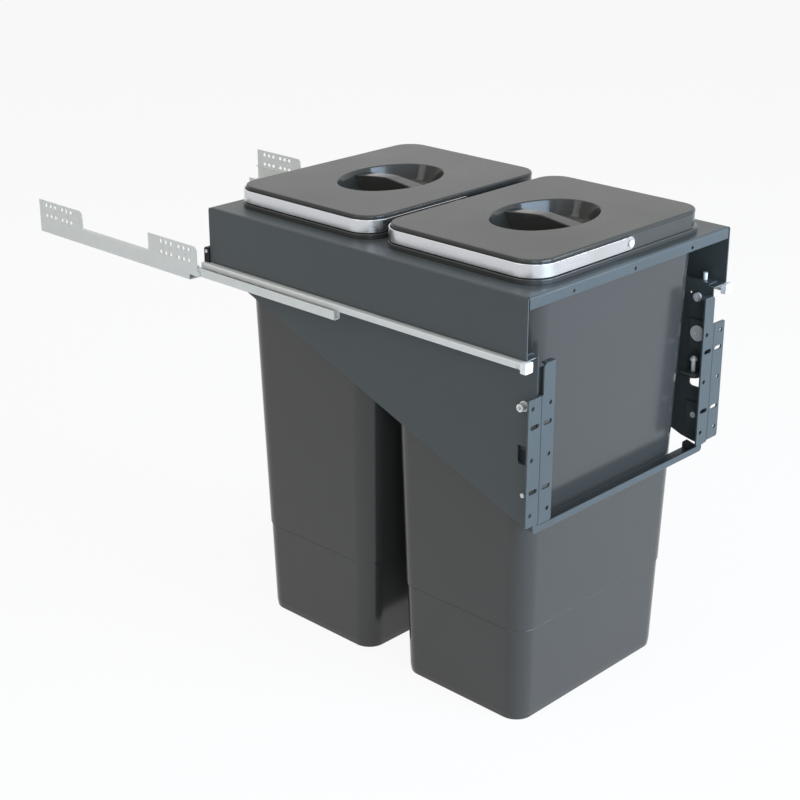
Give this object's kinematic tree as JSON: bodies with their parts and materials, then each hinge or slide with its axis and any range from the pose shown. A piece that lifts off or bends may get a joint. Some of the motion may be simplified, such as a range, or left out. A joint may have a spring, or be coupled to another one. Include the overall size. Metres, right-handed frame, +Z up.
{
  "type": "pull-out waste bin unit",
  "caption": "Pull-out waste bin unit for a base cabinet: steel tray on full-extension runners with door brackets, two deep lidded bins and swinging carrying bails.",
  "frame": {"origin": "under the middle of the whole open unit, level with the bottom of the bins", "axes": "+X to the right seen from the door, +Y back into the cabinet along the travel, +Z up"},
  "size_m": [0.364, 0.7818, 0.5305],
  "materials": {
    "painted_steel": "semi-gloss dark grey powder coat",
    "zinc_steel": "matt light grey zinc plating",
    "white_plastic": "white moulded plastic",
    "black_plastic": "black moulded plastic",
    "screw_steel": "bright zinc plating",
    "bin_plastic": "glossy dark grey polypropylene",
    "lid_plastic": "satin grey polypropylene",
    "bail_aluminium": "satin aluminium strip"
  },
  "bodies": {
    "cabinet": {"cabinet_rail_left": "zinc_steel", "cabinet_rail_right": "zinc_steel"},
    "pull_out": {"drawer_rail_left": "zinc_steel", "drawer_rail_right": "zinc_steel", "rail_end_caps": "white_plastic", "rear_hooks": "black_plastic", "hook_pins": "screw_steel", "tray": "painted_steel", "tray_screws": "screw_steel", "side_plate_left": "painted_steel", "side_plate_right": "painted_steel", "front_frame": "painted_steel", "door_bracket_left": "painted_steel", "door_bracket_right": "painted_steel", "clamp_bolts": "screw_steel", "clamp_washers": "screw_steel", "clamp_nuts": "screw_steel", "pivot_pins": "screw_steel"},
    "middle_rail_left": {"middle_rail_left": "zinc_steel"},
    "outer_carriage_left": {"outer_carriage_left": "black_plastic", "outer_rollers_left": "white_plastic"},
    "inner_carriage_left": {"inner_carriage_left": "black_plastic", "inner_rollers_left": "white_plastic"},
    "tilt_cam_left": {"tilt_cam_left": "screw_steel"},
    "height_adjuster_left": {"height_screw_left": "screw_steel", "thumb_wheel_left": "black_plastic"},
    "middle_rail_right": {"middle_rail_right": "zinc_steel"},
    "outer_carriage_right": {"outer_carriage_right": "black_plastic", "outer_rollers_right": "white_plastic"},
    "inner_carriage_right": {"inner_carriage_right": "black_plastic", "inner_rollers_right": "white_plastic"},
    "tilt_cam_right": {"tilt_cam_right": "screw_steel"},
    "height_adjuster_right": {"height_screw_right": "screw_steel", "thumb_wheel_right": "black_plastic"},
    "bin_front": {"bin_front": "bin_plastic", "bail_rivets_front": "screw_steel"},
    "lid_front": {"lid_front": "lid_plastic"},
    "bail_front": {"bail_front": "bail_aluminium"},
    "bin_rear": {"bin_rear": "bin_plastic", "bail_rivets_rear": "screw_steel"},
    "lid_rear": {"lid_rear": "lid_plastic"},
    "bail_rear": {"bail_rear": "bail_aluminium"}
  },
  "joints": [
    {"name": "tray_slide", "type": "slide", "parent": "cabinet", "child": "pull_out", "axis": [0, 1, 0], "range_m": [0, 0.465]},
    {"name": "middle_rail_left_slide", "type": "slide", "parent": "cabinet", "child": "middle_rail_left", "axis": [0, 1, 0], "range_m": [0, 0.2325]},
    {"name": "outer_carriage_left_slide", "type": "slide", "parent": "cabinet", "child": "outer_carriage_left", "axis": [0, 1, 0], "range_m": [0, 0.11625]},
    {"name": "inner_carriage_left_slide", "type": "slide", "parent": "middle_rail_left", "child": "inner_carriage_left", "axis": [0, 1, 0], "range_m": [0, 0.11625]},
    {"name": "tilt_cam_left_turn", "type": "hinge", "parent": "pull_out", "child": "tilt_cam_left", "pos_m": [-0.14925, -0.3668, 0.4257], "axis": [1, 0, 0], "range_deg": [-90, 90]},
    {"name": "height_adjuster_left_turn", "type": "hinge", "parent": "pull_out", "child": "height_adjuster_left", "pos_m": [-0.14, -0.3716, 0.3475], "axis": [0, 0, 1], "continuous": true},
    {"name": "middle_rail_right_slide", "type": "slide", "parent": "cabinet", "child": "middle_rail_right", "axis": [0, 1, 0], "range_m": [0, 0.2325]},
    {"name": "outer_carriage_right_slide", "type": "slide", "parent": "cabinet", "child": "outer_carriage_right", "axis": [0, 1, 0], "range_m": [0, 0.11625]},
    {"name": "inner_carriage_right_slide", "type": "slide", "parent": "middle_rail_right", "child": "inner_carriage_right", "axis": [0, 1, 0], "range_m": [0, 0.11625]},
    {"name": "tilt_cam_right_turn", "type": "hinge", "parent": "pull_out", "child": "tilt_cam_right", "pos_m": [0.14925, -0.3668, 0.4257], "axis": [1, 0, 0], "range_deg": [-90, 90]},
    {"name": "height_adjuster_right_turn", "type": "hinge", "parent": "pull_out", "child": "height_adjuster_right", "pos_m": [0.14, -0.3716, 0.3475], "axis": [0, 0, 1], "continuous": true},
    {"name": "bin_front_lift", "type": "slide", "parent": "pull_out", "child": "bin_front", "axis": [0, 0, 1], "range_m": [0, 0.55]},
    {"name": "lid_front_lift", "type": "slide", "parent": "bin_front", "child": "lid_front", "axis": [0, 0, 1], "range_m": [0, 0.2]},
    {"name": "bail_front_swing", "type": "hinge", "parent": "bin_front", "child": "bail_front", "pos_m": [0.006, -0.2679, 0.51855], "axis": [0, 1, 0], "range_deg": [0, 180]},
    {"name": "bin_rear_lift", "type": "slide", "parent": "pull_out", "child": "bin_rear", "axis": [0, 0, 1], "range_m": [0, 0.55]},
    {"name": "lid_rear_lift", "type": "slide", "parent": "bin_rear", "child": "lid_rear", "axis": [0, 0, 1], "range_m": [0, 0.2]},
    {"name": "bail_rear_swing", "type": "hinge", "parent": "bin_rear", "child": "bail_rear", "pos_m": [0.006, -0.0421, 0.51855], "axis": [0, 1, 0], "range_deg": [0, 180]}
  ],
  "couplings": [
    {"joint": "middle_rail_left_slide", "follows": "tray_slide", "ratio": 0.5},
    {"joint": "outer_carriage_left_slide", "follows": "tray_slide", "ratio": 0.25},
    {"joint": "inner_carriage_left_slide", "follows": "tray_slide", "ratio": 0.25},
    {"joint": "middle_rail_right_slide", "follows": "tray_slide", "ratio": 0.5},
    {"joint": "outer_carriage_right_slide", "follows": "tray_slide", "ratio": 0.25},
    {"joint": "inner_carriage_right_slide", "follows": "tray_slide", "ratio": 0.25}
  ]
}
